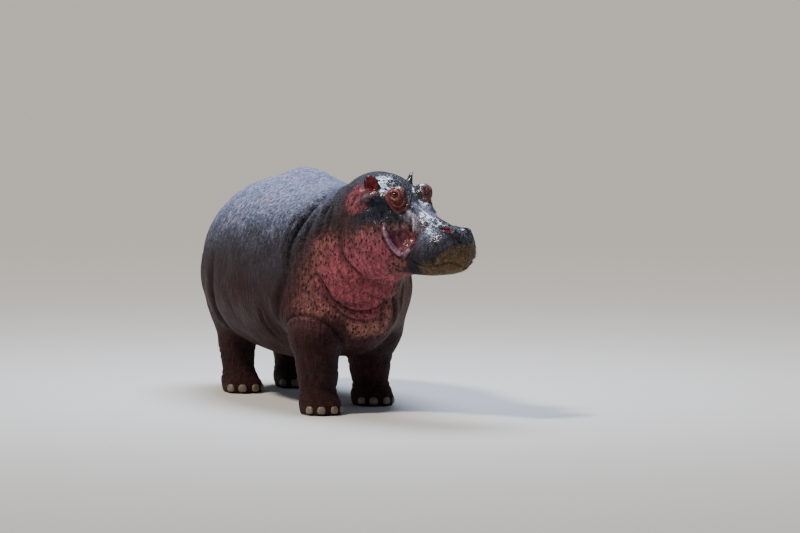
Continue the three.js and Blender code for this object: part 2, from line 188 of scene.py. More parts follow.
def limb(a, start_radius, b, end_radius, oval=1.0, blend=0.07):
    """A rod whose radius runs evenly from one end to the other, widened sideways by oval."""
    squeeze = np.array([1 / oval, 1, 1])
    a, b = np.array(a), np.array(b)
    run = (b - a) * squeeze

    def field(p):
        q = (p - a) * squeeze
        along = np.clip(q @ run / (run @ run), 0, 1)
        radius = start_radius + along * (end_radius - start_radius)
        return (length(q - along[:, None] * run) - radius) * min(1, oval)

    widest = max(start_radius, end_radius) * max(1, oval)
    return field, blend, np.minimum(a, b) - widest, np.maximum(a, b) + widest


def turned_egg(at, axes, reach, blend=0.02):
    """An ellipsoid along three directions of its own."""
    turn = np.array(axes) / np.array(reach)[:, None]

    def field(p):
        q = (p - at) @ turn.T
        level = np.maximum(length(q), 1e-3)
        slope = length((q / level[:, None]) @ turn)
        return (level - 1) / np.maximum(slope, 1e-3)

    most = max(reach)
    return field, blend, np.array(at) - most, np.array(at) + most


def from_head(point):
    """A point (to the left, backwards, up) of the turned head, in body coordinates."""
    x, y, z = np.asarray(point, float).T
    c, s = math.cos(HEAD_TURN), math.sin(HEAD_TURN)
    return np.stack([POLL[0] + x * c - y * s, POLL[1] + x * s + y * c, z], -1)


def to_head(points):
    c, s = math.cos(HEAD_TURN), math.sin(HEAD_TURN)
    x, y = points[:, 0] - POLL[0], points[:, 1] - POLL[1]
    return np.stack([x * c + y * s, -x * s + y * c, points[:, 2]], -1)


def combine(depth, masses, p, sign):
    """Joins masses to a field (sign 1) or takes them out of it (sign -1), each with a fillet of its blend."""
    spare = SPARE if sign > 0 else SPARE / 4
    for field, blend, low, high in masses:
        near = np.flatnonzero(np.all((p > low - spare) & (p < high + spare), axis=1))
        here, other = sign * depth[near], field(p[near])
        touch = np.maximum(blend - np.abs(here - other), 0) / blend
        depth[near] = sign * (np.minimum(here, other) - touch * touch * blend / 4)
    return depth


torso = [
    egg((0, 0.04, 0.79), 0.539, 1.07, 1.13, 0.645, 0.515, full=2.12),
    egg((0, -0.03, 1.3), 0.12, 0.45, 0.4, 0.178, 0.15),  # spine
    egg((0, 0.64, 0.82), 0.295, 0.48, 0.535, 0.478, 0.42, full=2.5, tall=2.8),  # rump
    egg((0, -0.56, 0.93), 0.32, 0.4, 0.56, 0.41, 0.48, full=2.1, blend=0.14),  # shoulders
    egg((0, -0.74, 0.7), 0.27, 0.26, 0.42, 0.42, 0.34, full=2.2, blend=0.13),  # chest
    limb((0, -0.6, 0.99), 0.365, (0.06, -1.07, 1.24), 0.285, oval=0.9, blend=0.15),  # neck
    egg((0.038, -0.96, 0.985), 0.228, 0.24, 0.3, 0.25, 0.23, blend=0.12),  # throat
]
head = [
    egg((0, 0.02, 1.29), 0.182, 0.2, 0.22, 0.225, 0.24, full=2.3, blend=0.1),  # skull
    limb((0, -0.14, 1.272), 0.112, (0, -0.54, 1.122), 0.088, oval=1.08),  # bridge
    egg((0, -0.47, 1.09), 0.172, 0.176, 0.14, 0.118, 0.085, full=2.6, tall=3.6, blend=0.044),  # muzzle
    egg((0, -0.32, 1.008), 0.158, 0.304, 0.33, 0.12, 0.095, full=2.8, tall=3, blend=0.044),  # lower jaw
]
for s in (-1, 1):
    head += [
        # Lip, cheek, arch to the eye, bone below it, eye mound, nostril mound and root of the ear.
        egg((s * 0.108, -0.485, 1.062), 0.085, 0.118, 0.12, 0.108, 0.092, full=2.4, tall=2.8, blend=0.04),
        egg((s * 0.122, -0.045, 1.115), 0.112, 0.19, 0.22, 0.17, 0.23),
        limb((s * 0.15, -0.01, 1.385), 0.034, (s * 0.128, -0.13, 1.392), 0.032, blend=0.06),
        limb((s * 0.104, -0.2, 1.37), 0.042, (s * 0.084, -0.262, 1.32), 0.034, blend=0.045),
        egg((s * 0.117, -0.19, 1.414), 0.05, 0.054, 0.06, 0.056, 0.072, blend=0.03),
        egg((s * 0.084, -0.556, 1.177), 0.045, 0.046, 0.08, 0.038, 0.06, blend=0.036),
        egg((s * 0.15, 0.012, 1.425), 0.042, 0.046, 0.055, 0.042, 0.07, blend=0.05),
    ]
TOE_ANGLES = np.radians([-60, -21, 21, 60])


def foot(x, y, side):
    """A round foot on four toes, fanned out in front of the sole."""
    toes = [
        egg((x + 0.078 * math.sin(a), y - 0.036 - 0.072 * math.cos(a), 0.044),
            0.044, 0.048, 0.06, 0.046, 0.08, full=2.4, blend=0.026)
        for a in TOE_ANGLES
    ]
    return [egg((x, y, 0.05), side, 0.118, 0.122, 0.092, 0.12, full=2.3, blend=0.06), *toes]


uppers, lowers = [], []
feet = {}
for name, s, foot_y in (("foreleg_right", -1, -0.905), ("foreleg_left", 1, -0.45)):
    x, wrist_y, elbow_y = s * 0.262, foot_y + 0.045, -0.64 + (foot_y + 0.64) * 0.75
    feet[name] = (x, foot_y)
    uppers.append(egg((s * 0.28, -0.56, 0.88), 0.108, 0.25, 0.29, 0.36, 0.33, blend=0.12))
    lowers += [
        limb((s * 0.27, -0.6, 0.72), 0.156, (s * 0.268, elbow_y, 0.5), 0.158, blend=0.11),
        limb((s * 0.27, elbow_y, 0.48), 0.156, (x, wrist_y, 0.27), 0.122, blend=0.06),
        limb((x, wrist_y, 0.27), 0.12, (x, foot_y + 0.03, 0.11), 0.112, blend=0.06),
        *foot(x, foot_y, 0.124),
    ]
for name, s, foot_y in (("hindleg_right", -1, 0.64), ("hindleg_left", 1, 0.85)):
    x, hock_y = s * 0.218, foot_y + 0.075
    feet[name] = (x, foot_y)
    uppers.append(egg((s * 0.215, 0.69, 0.72), 0.165, 0.31, 0.33, 0.38, 0.32, blend=0.13))
    lowers += [
        limb((s * 0.205, 0.75, 0.54), 0.158, (x, hock_y, 0.3), 0.106, blend=0.09),
        limb((x, hock_y, 0.3), 0.104, (x, foot_y + 0.045, 0.11), 0.104, blend=0.06),
        *foot(x, foot_y, 0.114),
    ]


# ---- Ears, lids, nostrils, mouth and tail -------------------------------------------------------
# Thin forms of the same skin. Each ear is a hollowed leaf on a fleshy root, the lids are a thick ring round
# the eyeball with an almond opening, and the tail is a flattened rod that hangs against the rump.
def unit(vector):
    return np.array(vector, float) / np.linalg.norm(vector)


ears, ear_hollows, lids, sockets, nostrils, gazes = [], [], [], [], [], []
for s in (-1, 1):
    face, rise = unit((s * 0.7, -0.72, 0)), unit((s * 0.3, 0.06, 1))
    across = unit(np.cross(rise, face))
    out = np.cross(across, rise)
    ear_at = np.array([s * 0.185, -0.028, 1.47])
    ears.append(turned_egg(ear_at, (across, out, rise), (0.046, 0.023, 0.066), blend=0.018))
    hollow_at = ear_at + out * 0.017 + rise * 0.008
    ear_hollows.append(turned_egg(hollow_at, (across, out, rise), (0.035, 0.023, 0.051), blend=0.006))

    gaze = unit((s * 0.8, -0.58, 0.1))
    level_way = unit(np.cross((0, 0, 1), gaze))
    eye_at = np.array([s * EYE_SIDE, -EYE_FORWARD, EYE_HEIGHT])
    gazes.append((s, eye_at, gaze, level_way, np.cross(gaze, level_way)))
    lids.append(turned_egg(eye_at, np.eye(3), (EYE_RADIUS + 0.0085,) * 3, blend=0.016))
    sockets.append(turned_egg(eye_at, np.eye(3), (EYE_RADIUS - 0.001,) * 3, blend=0.003))

    along, wide = unit((s * -0.04, -1, -0.26)), unit((s, 0, -0.45))
    slit_axes = (along, unit(wide - along * (wide @ along)), unit(np.cross(along, wide)))
    nostrils.append(turned_egg((s * 0.08, -0.556, 1.209), slit_axes, (0.049, 0.031, 0.034), blend=0.008))


def lid_opening(p, eye_at, gaze, level_way, high_way):
    """The almond between the lids, as a field that is negative inside."""
    half_long, half_high, hinge = 0.0245, 0.0165, 0.006  # hinge: how far in front of the eye's middle it ends
    radius = (half_long**2 + half_high**2) / (2 * half_high)
    q = p - eye_at
    a, b, depth = q @ level_way, q @ high_way, q @ gaze
    middle = half_high - radius
    almond = np.maximum(np.hypot(a, b - middle) - radius, np.hypot(a, b + middle) - radius)
    return np.maximum(almond, hinge - depth)


def bell(distance, width, power=2):
    return np.exp(-((distance / width) ** power))


MOUTH_U = (0.27, 0.33, 0.4, 0.5, 0.56, 0.6, 0.66)  # forward of the poll
MOUTH_HEIGHT = (1.04, 1.01, 0.992, 0.99, 1.003, 1.014, 1.018)
MOUTH_DIP = 0.046  # how much lower the lips part in the middle of the front
MOUTH_SLACK = 0.03  # to the left of the middle, where the upper lip hangs lowest
MOUTH_WIDTH, MOUTH_DEPTH = 0.0075, 0.011  # of the parting


def mouth_line(q):
    """How far each point of the head lies above the parting of the lips, and how much it shows there."""
    u = -q[:, 1]
    middle = np.clip(1 - np.abs(q[:, 0] - MOUTH_SLACK) / 0.105, 0, 1)
    dip = MOUTH_DIP * middle**1.2 * np.clip((u - 0.52) / 0.08, 0, 1)
    return q[:, 2] - (np.interp(u, MOUTH_U, MOUTH_HEIGHT) - dip), np.clip((u - 0.27) / 0.05, 0, 1)


TAIL_HEIGHT, TAIL_LENGTH, TAIL_WIDTH = 1.06, 0.42, 0.072


def tail_point(t):
    out = 0.092 * math.sin(min(1, 1.6 * t) * math.pi / 2)
    return np.array([0, tail_root_y + out, TAIL_HEIGHT - TAIL_LENGTH * t**1.3])


def flesh(p):
    """The body without its thin forms."""
    depth = combine(np.full(len(p), 1e3), torso, p, 1)
    depth = combine(depth, head, to_head(p), 1)
    return combine(depth, uppers + lowers, p, 1)


probe = np.stack([np.zeros(400), np.linspace(0.9, 1.3, 400), np.full(400, TAIL_HEIGHT)], -1)
tail_root_y = probe[np.argmax(flesh(probe) > 0), 1] - 0.028  # its end is let into the rump
tail_steps = np.linspace(0, 1, 9)
tail = []
for t0, t1 in zip(tail_steps, tail_steps[1:]):
    flat = 0.95 - 0.45 * (t0 + t1) / 2
    thick = [TAIL_WIDTH / 2 * (1 - 0.62 * t) * flat for t in (t0, t1)]
    tail.append(limb(tail_point(t0), thick[0], tail_point(t1), thick[1], oval=1 / flat,
                     blend=0.03 if t0 == 0 else 0.008))
SOLE_EDGE = 0.01  # how round the edge of a sole is


def skin_field(p):
    q = to_head(p)
    depth = combine(flesh(p), ears + lids, q, 1)
    depth = combine(depth, tail, p, 1)
    depth = combine(depth, ear_hollows + nostrils + sockets, q, -1)
    for _, eye_at, *ways in gazes:
        near = np.flatnonzero(length(q - eye_at) < 0.08)
        depth[near] = np.maximum(depth[near], -lid_opening(q[near], eye_at, *ways))
    muzzle = np.flatnonzero((q[:, 1] < -0.25) & (np.abs(q[:, 0]) < 0.25) & (q[:, 2] > 0.9) & (q[:, 2] < 1.15))
    above, shows = mouth_line(q[muzzle])
    depth[muzzle] += MOUTH_DEPTH * shows * bell(above, MOUTH_WIDTH)
    touch = np.maximum(SOLE_EDGE - np.abs(depth + p[:, 2]), 0) / SOLE_EDGE
    return np.maximum(depth, -p[:, 2]) + touch * touch * SOLE_EDGE / 4


# ---- Skin mesh ----------------------------------------------------------------------------------
# One closed skin, cast over the field in squares of about 16 mm on the barrel. They shrink to half that on
# the head, and round the eyes, ears, nostrils and mouth corners they are halved once more.
CELL = 0.017
MAGNIFY, MAGNIFY_REACH = 1.35, 0.5
head_middle = from_head((0, -0.3, 1.22))


def magnified(r):
    return 1 + MAGNIFY / (1 + (r / MAGNIFY_REACH) ** 2)


def swell(p):
    return head_middle + (p - head_middle) * magnified(length(p - head_middle))[:, None]


radii = np.linspace(0, 6, 3000)
swollen = radii * magnified(radii)


def shrink(p):
    r = np.maximum(length(p - head_middle), 1e-6)
    return head_middle + (p - head_middle) * (np.interp(r, swollen, radii) / r)[:, None]


def lattice(*counts):
    """The indices of a block of cells."""
    return np.stack(np.meshgrid(*map(np.arange, counts), indexing="ij"), -1).reshape(-1, 3)


def cast_squares():
    """Samples the field in swollen space, coarsely first, and turns its zero surface into squares."""
    corners = swell(np.array([(x, y, z) for x in (-0.62, 0.62) for y in (-1.9, -1.2, 0, 1.3)
                              for z in (-0.05, 0.8, 1.6)]))
    low, high = corners.min(0) - 0.1, corners.max(0) + 0.1
    block, margin = 4, 1.7  # cells in a coarse block, and how many blocks from the surface are near it
    counts = np.ceil((high - low) / (CELL * block)).astype(int)
    index = lattice(*counts)
    coarse = skin_field(shrink(low + (index + 0.5) * CELL * block))
    grid = np.sign(coarse).reshape(counts).astype(np.float32)
    for axis in range(3):
        grid = grid.repeat(block, axis)
    near = index[np.abs(coarse) < CELL * block * margin]
    fine = (near[:, None] * block + lattice(block, block, block)).reshape(-1, 3)
    values = skin_field(shrink(low + (fine + 0.5) * CELL))
    grid[tuple(fine.T)] = np.clip(values / CELL, -1, 1)
    volume = openvdb.FloatGrid()
    volume.copyFromArray(grid)
    points, squares = volume.convertToQuads(isovalue=0.0)
    return shrink(low + (np.array(points, float) + 0.5) * CELL), np.array(squares, int)


def normals_of(p, reach=0.0015):
    """The field's value and its slope, from the four corners of a small tetrahedron."""
    ways = np.array([[1, 1, 1], [1, -1, -1], [-1, 1, -1], [-1, -1, 1]], float)
    values = np.stack([skin_field(p + way * reach) for way in ways], -1)
    return values.mean(1), values @ ways / (4 * reach)


def settle(p, rounds=2, most=0.006):
    """Moves points along the slope until they lie on the skin."""
    for _ in range(rounds):
        depth, slope = normals_of(p)
        steep = np.maximum((slope**2).sum(1), 0.15)
        step = -slope * (depth / steep)[:, None]
        size = length(step)[:, None]
        p = p + step * np.minimum(1, most / np.maximum(size, 1e-9))
    return p


def read(data, field, width=3, kind=float):
    """One field of all vertices, corners or values, as rows of width numbers."""
    flat = np.empty(len(data) * width, kind)
    data.foreach_get(field, flat)
    return flat.reshape(-1, width)


points, squares = cast_squares()
body = bmesh.new()
for point in settle(points):
    body.verts.new(point)
body.verts.ensure_lookup_table()
for square in squares:
    body.faces.new([body.verts[i] for i in square])
body.normal_update()
ear_spots = [((s * 0.185, -0.02, 1.46), 0.1) for s in (-1, 1)]
nostril_spots = [((s * 0.084, -0.574, 1.21), 0.06) for s in (-1, 1)]
pocket_spots = [((s * 0.15, -0.245, 1.14), 0.125) for s in (-1, 1)]
eye_spots, lid_spots = ([(eye_at, reach) for _, eye_at, *_ in gazes] for reach in (0.09, 0.058))
for spots in (eye_spots + ear_spots + nostril_spots + pocket_spots, lid_spots):
    in_head = to_head(np.array([v.co[:] for v in body.verts]))
    fine = np.zeros(len(in_head), bool)
    for spot, reach in spots:
        fine |= length(in_head - spot) < reach
    body.verts.index_update()
    edges = [e for e in body.edges if fine[e.verts[0].index] and fine[e.verts[1].index]]
    bmesh.ops.subdivide_edges(body, edges=edges, cuts=1, use_grid_fill=True)
    body.verts.ensure_lookup_table()
bmesh.ops.remove_doubles(body, verts=body.verts, dist=1e-6)
bmesh.ops.recalc_face_normals(body, faces=body.faces)
skin_mesh = bpy.data.meshes.new("skin")
body.to_mesh(skin_mesh)
body.free()

surface = settle(read(skin_mesh.vertices, "co"), rounds=2, most=0.004)
_, outward = normals_of(surface, 0.004)
outward /= np.maximum(length(outward), 1e-6)[:, None]
in_head = to_head(surface)


# ---- Folds and creases --------------------------------------------------------------------------
# The hide is thick and slack. It folds across the neck where the head turns, hangs in rolls under the throat,
# wrinkles in rings round the eyes and ankles, and is pushed into a deep pocket at each corner of the mouth.
lift = np.zeros(len(surface))  # how far each point of the skin is raised
drag = np.zeros((len(surface), 3))  # how far it hangs over the crease beside it
marks = {name: np.zeros(len(surface)) for name in (
    "painted_crease_shade",  # how deep in a crease a point lies, 0 to 1, which darkens the hide there as painted shade
    "pocket_red",  # the red pocket at the corner of the mouth
    "lilac_rim",  # the rolled lip behind it
    "pocket_front",  # its bright front fold
    "red_lids",  # wrinkled red skin round the eyes
    "flesh_fold",  # the rims of the lids and the fleshy fold at the foot of the ear
    "bone_ridge_highlight",  # the paler ridge from the eye back to the ear, partly a painted highlight
    "lip_edge_highlight",  # the back edge of the upper lip, painted pale as a wet highlight
)}


def mark(name, strength, near=slice(None)):
    marks[name][near] = np.maximum(marks[name][near], strength)


def ramp(value, start, end):
    t = np.clip((value - start) / (end - start), 0, 1)
    return t * t * (3 - 2 * t)


def smooth_path(path, steps=10):
    """A curve through a few points."""
    knots = np.array([path[0], *path, path[-1]], float)
    made = []
    for p0, p1, p2, p3 in zip(knots, knots[1:], knots[2:], knots[3:]):
        t = np.linspace(0, 1, steps, endpoint=False)[:, None]
        made.append(p1 + t * (p2 - p0) / 2 + t**2 * (p0 - 2.5 * p1 + 2 * p2 - p3 / 2)
                    + t**3 * (1.5 * (p1 - p2) + (p3 - p0) / 2))
    return np.concatenate([*made, knots[-1:]])


def beside(path, span, fade=0.3):
    """The points of skin within span of a path: their numbers, way and distance from it, and its strength
    there, which fades towards both ends."""
    path = settle(smooth_path(path), rounds=4, most=0.04)
    near = np.flatnonzero(np.all((surface > path.min(0) - span) & (surface < path.max(0) + span), axis=1))
    away = surface[near][:, None] - path
    gap = np.linalg.norm(away, axis=2)
    nearest = gap.argmin(1)
    t = nearest / (len(path) - 1)
    return (near, away[np.arange(len(near)), nearest], gap.min(1),
            np.sqrt(np.clip(np.minimum(t, 1 - t) / fade, 0, 1)))


def crease(path, width, depth, roll=0, roll_way=(0, 0, 1), fade=0.3, hang=0.6):
    """Presses a crease into the skin. The flesh on its roll_way side swells by roll and hangs over it. Sizes
    here and in the next two functions are in millimetres."""
    width, depth, roll = width / 1000, depth / 1000, roll / 1000
    near, away, gap, strength = beside(path, width * 6, fade)
    groove = strength * bell(gap, width)
    side = ramp(away @ unit(roll_way), -0.2 * width, 0.4 * width)
    swelling = strength * side * bell(gap - 2.2 * width, 1.5 * width)
    lift[near] += roll * swelling - depth * groove
    overhang = hang * roll * strength * side * bell(gap - 1.3 * width, width)
    drag[near] -= np.outer(overhang, unit(roll_way))
    mark("painted_crease_shade", groove, near)


def ridge(path, width, height, fade=0.3, span=0):
    near, _, gap, strength = beside(path, span / 1000 or width / 1000 * 4, fade)
    lift[near] += height / 1000 * strength * bell(gap, width / 1000)


def stain(name, path, width, fade=0.3, power=2):
    """Marks the skin along a path."""
    near, _, gap, strength = beside(path, 0.06, fade)
    mark(name, strength * bell(gap, width / 1000, power), near)


# Each crease is its path, width and depth, how far the flesh beside it swells, all in millimetres, then on
# which side it swells, how soon the crease fades towards its ends, and what share of the swelling hangs over.
SIDE_CREASES = (  # on both sides of the body
    # Across the side of the neck, from the withers to the shoulder.
    (((-150, -735, 1375), (-242, -737, 1293), (-302, -743, 1225), (-357, -735, 1149), (-400, -712, 1052),
      (-415, -722, 888)), 17, 34, 20, (0, 1, 0), 0.2),
    (((-265, -700, 1290), (-308, -690, 1247), (-362, -682, 1178), (-400, -672, 1090),
      (-424, -660, 985)), 15, 22, 14, (0, 1, 0)),
    (((-163, -886, 1366), (-199, -917, 1316), (-232, -895, 1260), (-253, -907, 1198),
      (-278, -902, 1116)), 14, 22, 12, (0, 1, 0)),
    (((-205, -960, 1330), (-224, -987, 1251), (-235, -975, 1180)), 12, 14, 7, (0, 1, 0)),
    (((-240, -820, 1280), (-290, -815, 1205), (-325, -810, 1110), (-345, -800, 1000)), 14, 16, 10, (0, 1, 0)),
    # Down the front of the shoulder.
    (((-412, -722, 900), (-438, -696, 790), (-452, -655, 673), (-440, -600, 560)), 26, 16, 10, (0, 1, 0)),
    # Behind the foreleg, where it meets the belly.
    (((-475, -400, 640), (-440, -385, 520), (-370, -400, 420)), 22, 18, 10, (0, -1, 0)),
    # The fold of the flank, in front of the thigh.
    (((-500, 330, 930), (-500, 370, 780), (-460, 420, 630), (-390, 460, 510),
      (-300, 480, 430)), 34, 20, 16, (0, 1, 0)),
    # Over the thigh, from the loin to the back of the knee.
    (((-380, 940, 900), (-385, 965, 760), (-340, 985, 600), (-290, 960, 470)), 30, 10, 8, (0, -1, 0)),
    # Beside the root of the tail.
    (((-100, 1100, 950), (-75, 1110, 1060), (-30, 1095, 1140)), 14, 12, 6, (-1, 0, 0)),
)
SINGLE_CREASES = (
    # Over the top of the right foreleg, which stands forward, where it meets the chest.
    (((-440, -760, 575), (-415, -827, 612), (-350, -925, 628), (-275, -984, 595), (-185, -1000, 520),
      (-130, -960, 450)), 15, 26, 16, (0, 0, -1), 0.2),
    # Between the haunches, below the tail.
    (((0, 1160, 720), (0, 1120, 560), (0, 980, 420), (0, 800, 340)), 30, 22),
    # Rolls of the throat, from the side of the neck across the front of the chest. The first is the slack
    # pouch that hangs from the jaw.
    (((-200, -1075, 905), (-150, -1090, 868), (-55, -1120, 812), (60, -1100, 762), (130, -1070, 752),
      (230, -1010, 790)), 18, 34, 34, (0, 0, 1), 0.2, 0.9),
    (((-300, -910, 905), (-255, -958, 834), (-198, -993, 732), (-73, -1032, 664), (62, -1045, 682),
      (150, -1060, 740)), 18, 30, 24, (0, 0, 1), 0.2, 0.9),
    (((-320, -895, 830), (-201, -985, 686), (-95, -1012, 606), (60, -1016, 596),
      (170, -996, 655)), 14, 16, 10, (0, 0, 1), 0.25),
    (((-290, -930, 870), (-225, -975, 780), (-130, -1030, 720), (-20, -1060, 705)), 9, 8, 4),
    (((160, -1030, 740), (120, -1030, 650), (135, -960, 520)), 16, 22),
    (((215, -1040, 850), (205, -1010, 740), (226, -949, 637), (240, -900, 540)), 12, 14, 8, (1, 0, 0)),
    (((290, -930, 830), (285, -900, 720), (300, -860, 610)), 11, 10, 6, (1, 0, 0)),
    # Behind and below the heavy cheek, where the neck bends.
    (((-192, -1120, 1240), (-198, -1101, 1117), (-186, -1107, 1021), (-147, -1146, 952), (-67, -1188, 889),
      (40, -1175, 855)), 24, 16, 14, (0.5, -0.6, 0.3), 0.35, 0.3),
)
for s in (-1, 1):
    for path, *shape in SIDE_CREASES:
        crease(np.array(path) * (-s, 1, 1) / 1000, *shape)
for path, *shape in SINGLE_CREASES:
    crease(np.array(path) / 1000, *shape)

# Rings of wrinkles above the toes and at the wrists and hocks.
ANKLE_RINGS = ((0.125, 0.008, 0.006), (0.158, 0.009, 0.005), (0.262, 0.013, 0.007), (0.3, 0.011, 0.005))
waver = np.array([noise.noise(Vector(p) * 7.0) for p in surface])
for x, foot_y in feet.values():
    over = (np.hypot(surface[:, 0] - x, surface[:, 1] - foot_y - 0.05) < 0.2) & (surface[:, 2] < 0.42)
    level = surface[:, 2] + 0.14 * (surface[:, 1] - foot_y) + 0.03 * waver
    for height, width, depth in ANKLE_RINGS:
        ring = over * bell(level - height, width)
        lift -= depth * ring
        mark("painted_crease_shade", 0.6 * ring)

EYE_RINGS = (  # radius of each ring round the pupil, its width, and how far it stands up or sinks
    (0.0295, 0.005, 0.005), (0.0378, 0.0034, -0.0045), (0.045, 0.005, 0.005), (0.0535, 0.0038, -0.005),
    (0.062, 0.006, 0.004), (0.0725, 0.005, -0.0035),
)
POCKET_TILT, POCKET_U, POCKET_W, POCKET_LONG, POCKET_HIGH = math.radians(14), 0.234, 1.14, 0.044, 0.08
u, w = -in_head[:, 1], in_head[:, 2]  # forwards and up, of the head
for (s, eye_at, gaze, level_way, high_way), (nostril, *_) in zip(gazes, nostrils):
    def on_side(*path):
        """A path on this side of the head, in metres. It is given for the left one, in millimetres."""
        return from_head(np.array(path) * (s, 1, 1) / 1000)

    # Rings of wrinkles round the lids, drawn out forwards and down towards the bridge.
    q = in_head - eye_at
    onward, above = -s * (q @ level_way), q @ high_way
    from_axis = np.hypot(onward, above)
    droop = np.clip((0.55 * onward - 0.83 * above) / np.maximum(from_axis, 1e-4), 0, 1) ** 2
    ring_radius = from_axis / (1 + 0.8 * droop * np.clip((from_axis - 0.03) / 0.03, 0, 1))
    outside = (q @ gaze > -0.045) & (length(q) < 0.13)
    for radius, width, rise in EYE_RINGS:
        band = outside * bell(ring_radius - radius, width)
        band *= 1 - (radius > 0.05) * 0.75 * ramp(-droop, -0.25, 0)
        lift += rise * band
        if rise < 0:
            mark("painted_crease_shade", 0.75 * band)
    mark("red_lids", outside * (1 - ramp(ring_radius, 0.048, 0.08)))
    mark("flesh_fold", outside * bell(ring_radius - 0.0275, 0.005, 4))

    # The pocket at the corner of the mouth: a pouch open upwards, deepest behind and below.
    this_side = (s * in_head[:, 0] > 0.05).astype(float)
    a = (u - POCKET_U) * math.cos(POCKET_TILT) + (w - POCKET_W) * math.sin(POCKET_TILT)
    b = -(u - POCKET_U) * math.sin(POCKET_TILT) + (w - POCKET_W) * math.cos(POCKET_TILT)
    level = np.hypot(a / (POCKET_LONG * (1 + 0.3 * np.clip(b / POCKET_HIGH, -1, 1))), b / POCKET_HIGH)
    inside = this_side * (1 - 0.75 * ramp(w, 1.16, 1.23)) * (1 - ramp(level, 0.55, 1.12))
    lift -= inside * (0.019 - 0.007 * np.clip(a / POCKET_LONG, -1, 1))
    lift += inside * 0.003 * np.cos(a * 2 * math.pi / 0.03 + b * 12)
    mark("pocket_red", this_side * (1 - 0.8 * ramp(w, 1.18, 1.25)) * (1 - ramp(level, 0.75, 1.15)))
    # Painted shade, darkest at the back of the pocket.
    mark("painted_crease_shade", 0.3 * inside * ramp(-a / POCKET_LONG, -0.3, 0.7))
    # The rolled lip behind and below it, with a crease beside it.
    rim_path = on_side((205, -140, 1230), (205, -166, 1172), (194, -192, 1118), (179, -228, 1068),
                       (166, -264, 1046), (154, -296, 1056), (145, -318, 1086))
    ridge(rim_path, 15, 24, 0.2)
    crease(rim_path + from_head((0, 0.022, -0.016)) - from_head((0, 0, 0)), 8, 8, fade=0.2)
    stain("lilac_rim", rim_path, 17, 0.15, power=4)
    stain("pocket_front", on_side((120, -292, 1185), (128, -298, 1145), (140, -300, 1100)), 16)
    # The stiff back edge of the upper lip stands up in front of the pocket.
    ridge(on_side((121, -254, 1310), (110, -284, 1298), (98, -306, 1273), (105, -326, 1236),
                  (110, -330, 1195), (116, -335, 1150)), 15, 24, 0.2)
    # Painted highlight along the back edge of the upper lip.
    stain("lip_edge_highlight", on_side((118, -262, 1308), (105, -288, 1290), (98, -308, 1265), (106, -326, 1225),
                              (110, -330, 1185)), 20, 0.2)
    crease(on_side((126, -262, 1250), (118, -286, 1215), (112, -292, 1170)), 10, 8)
    # The ridge that carries the cheek bone back to the ear, and the hollow under it.
    ridge(on_side((222, 70, 1335), (214, 28, 1374), (211, -3, 1396), (202, -29, 1407), (190, -52, 1414),
                  (172, -84, 1420)), 19, 24, 0.15)
    # Paler pink skin along the ridge, partly a painted highlight on it.
    stain("bone_ridge_highlight", on_side((222, 50, 1350), (211, -3, 1398), (190, -52, 1416), (160, -95, 1428)), 24)
    ridge(on_side((212, 0, 1345), (200, -50, 1345), (184, -100, 1325), (165, -150, 1290)), 36, -22, span=120)
    # The fleshy fold and the wrinkles at the foot of the ear.
    ear_path = on_side((168, -20, 1448), (196, -4, 1438), (203, 30, 1425), (200, 60, 1432))
    ridge(ear_path, 10, 12)
    stain("flesh_fold", ear_path, 14)
    crease(on_side((205, 10, 1418), (212, 40, 1385), (220, 60, 1340)), 8, 9)
    crease(on_side((190, 85, 1440), (206, 95, 1390), (218, 100, 1340)), 9, 8)
    # A swollen rim round each nostril and a knob of muscle in front of it.
    lift += 0.0055 * bell(nostril(in_head) - 0.008, 0.006)
    lift += 0.014 * bell(length(in_head - (s * 0.055, -0.604, 1.2)), 0.024)
# The slack front of the upper lip.
lift += 0.014 * bell(length((in_head - (MOUTH_SLACK, -0.64, 1.0)) / (1.4, 1, 0.8)), 0.042)

# Slow swells of fat and muscle, and the shallow diagonal wrinkles of the flank.
for i, point in enumerate(surface):
    spot = Vector(point)
    streaks = Vector((spot.x * 12, spot.y * 26 + spot.z * 14, spot.z * 7))
    lift[i] += (0.006 * noise.noise(spot * 3.2) + 0.0022 * noise.noise(spot * 9.0)
                + 0.0016 * noise.noise(streaks))
above_sole = np.clip(surface[:, 2] / 0.05, 0, 1)  # the soles stay flat
surface += outward * (lift * above_sole)[:, None] + drag * above_sole[:, None]
surface[:, 2] = np.maximum(surface[:, 2], 0)
skin_mesh.vertices.foreach_set("co", (surface + MIDDLE).astype(np.float32).ravel())
skin_mesh.update()
skin_mesh.shade_smooth()
skin = show("skin", skin_mesh)


# ---- Markings -----------------------------------------------------------------------------------
# Each marking is a strength from 0 to 1 at every point of the skin. The hide's material breaks up its edge.
def patch(at, reach, edge=0.4):
    """A soft-edged egg of colour on both sides of the head."""
    q = (np.stack([np.abs(in_head[:, 0]), in_head[:, 1], in_head[:, 2]], -1) - at) / reach
    return 1 - ramp(length(q), 1 - edge, 1 + edge)


x, y, z = surface.T
front_edge = np.interp(z, (0.45, 0.7, 0.85, 0.96, 1.1, 1.27), (-0.87, -0.84, -0.84, -0.88, -0.92, -1.0))


def bare_front(margin, soft=1.0):
    """The bare pink of cheeks, throat and chest. A positive margin draws its edge in."""
    near_side = 1 - ramp(x, 0.12 - margin, 0.26 - margin) * ramp(y, -1.18, -1.08)
    top = 1.22 - 0.6 * margin - 0.08 * (1 - ramp(u, -0.08, 0.06))
    foot = 0.48 + margin + 0.13 * (1 - ramp(x, -0.17, -0.07))  # higher above the foreleg that stands forward
    return near_side * (
        ramp(front_edge - y, margin - 0.1 * soft, margin + 0.1 * soft)
        * ramp(z, foot - 0.04 * soft, foot + 0.06 * soft)
        * (1 - ramp(w, top - 0.09 * soft, top + 0.09 * soft))
        * (1 - ramp(u - 0.4 * (w - 1.0), 0.27 - margin - 0.08 * soft, 0.27 - margin + 0.08 * soft))
    )
